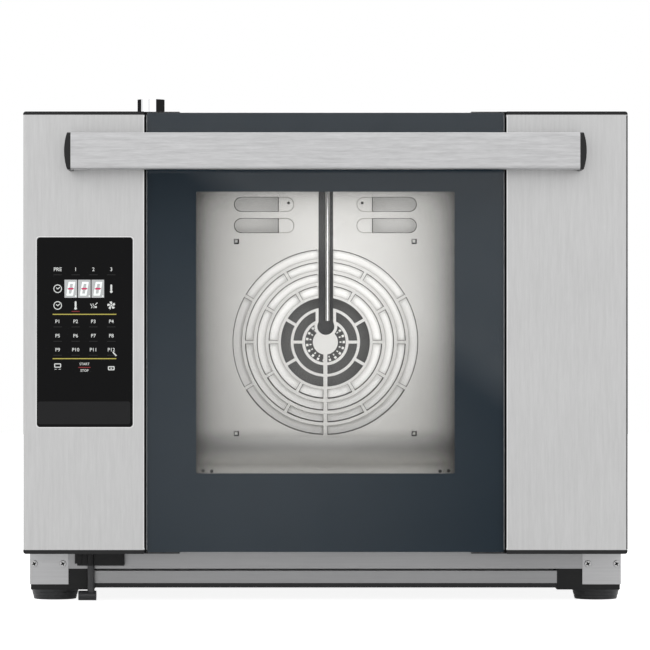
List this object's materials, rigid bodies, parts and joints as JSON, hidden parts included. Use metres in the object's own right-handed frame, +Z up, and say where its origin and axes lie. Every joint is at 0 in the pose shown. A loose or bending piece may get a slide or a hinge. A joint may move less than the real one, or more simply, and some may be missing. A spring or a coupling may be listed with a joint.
{
  "type": "convection oven",
  "caption": "Countertop convection oven: steel casing, full-width drop-down door with window, bar handle and touch panel, fan behind a ring-slotted guard, side racks, chimney.",
  "frame": {"origin": "on the floor, in the middle of the overall width and depth", "axes": "+X to the user's right, +Y to the back, +Z up; the door faces -Y"},
  "size_m": [0.6, 0.669, 0.518],
  "materials": {
    "casing_steel": "fine brushed",
    "door_steel": "fine vertical brushing",
    "handle_steel": "horizontal brushing",
    "base_steel": "horizontal brushing",
    "chamber_steel": "satin",
    "frame_steel": "satin",
    "bright_wire": "polished",
    "chimney_steel": "polished",
    "turned_steel": "turned",
    "screw_steel": "satin",
    "zinc_steel": "zinc plated",
    "impeller_steel": "pressed",
    "dark_sheet": "satin black",
    "element_alloy": "heat darkened",
    "motor_casting": "cast",
    "light_profile": "extruded with a clear cover",
    "stud_brass": "turned",
    "black_plastic": "moulded",
    "fan_plastic": "moulded",
    "pale_plastic": "moulded",
    "board_green": "circuit board",
    "foot_rubber": "moulded",
    "seal_silicone": "soft",
    "wool": "mineral wool",
    "outer_pane": "tinted with a dark printed border",
    "inner_pane": "clear",
    "panel_gloss": "glossy black",
    "display_black": "smoked"
  },
  "bodies": {
    "cabinet": {"side_panel_left": "casing_steel", "side_panel_right": "casing_steel", "top_panel": "casing_steel", "rear_panel": "casing_steel", "front_rail": "base_steel", "corner_plates": "base_steel", "drip_channel": "base_steel", "chamber_liner": "chamber_steel", "fan_guard": "chamber_steel", "guard_posts": "chamber_steel", "front_frame": "chamber_steel", "motor_plate": "frame_steel", "rack_left": "bright_wire", "rack_right": "bright_wire", "humidity_pipe": "bright_wire", "chamber_probe": "bright_wire", "chimney_tube": "chimney_steel", "chimney_collar": "chimney_steel", "drain_fitting": "chimney_steel", "hinge_pins": "turned_steel", "casing_screws": "screw_steel", "guard_screws": "screw_steel", "hinge_brackets": "zinc_steel", "base_pan": "dark_sheet", "pipe_channel": "dark_sheet", "heating_element": "element_alloy", "fan_motor": "motor_casting", "earth_stud": "stud_brass", "foot_blocks": "black_plastic", "drip_block": "black_plastic", "cable_gland": "black_plastic", "cooling_fan_frame": "fan_plastic", "terminal_block": "pale_plastic", "water_inlet_valve": "pale_plastic", "safety_thermostat": "pale_plastic", "power_board": "board_green", "rubber_feet": "foot_rubber", "drip_pipe": "foot_rubber", "chamber_gasket": "seal_silicone", "insulation": "wool"},
    "door": {"door_frame": "frame_steel", "outer_glass": "outer_pane", "inner_glass": "inner_pane", "inner_glass_clips": "zinc_steel", "door_panel_left": "door_steel", "door_panel_right": "door_steel", "door_top_caps": "black_plastic", "door_bottom_caps": "black_plastic", "handle_bar": "handle_steel", "handle_bracket_left": "black_plastic", "handle_bracket_right": "black_plastic", "control_glass": "panel_gloss", "display_module": "display_black", "control_board": "board_green", "hinge_arms": "zinc_steel", "light_bars": "light_profile"},
    "fan": {"fan_impeller": "impeller_steel", "motor_shaft": "turned_steel", "fan_nut": "screw_steel"},
    "cooling_fan": {"cooling_fan_rotor": "fan_plastic"}
  },
  "joints": [
    {"name": "door_hinge", "type": "hinge", "parent": "cabinet", "child": "door", "pos_m": [0, -0.2385, 0.063], "axis": [1, 0, 0], "range_deg": [0, 84], "stiffness_Nm_per_rad": 4, "springref_deg": -80.21},
    {"name": "fan_spin", "type": "hinge", "parent": "cabinet", "child": "fan", "pos_m": [0, 0.16, 0.2598], "axis": [0, 1, 0], "continuous": true},
    {"name": "cooling_fan_spin", "type": "hinge", "parent": "cabinet", "child": "cooling_fan", "pos_m": [-0.19, 0.3, 0.4], "axis": [0, 1, 0], "continuous": true}
  ]
}
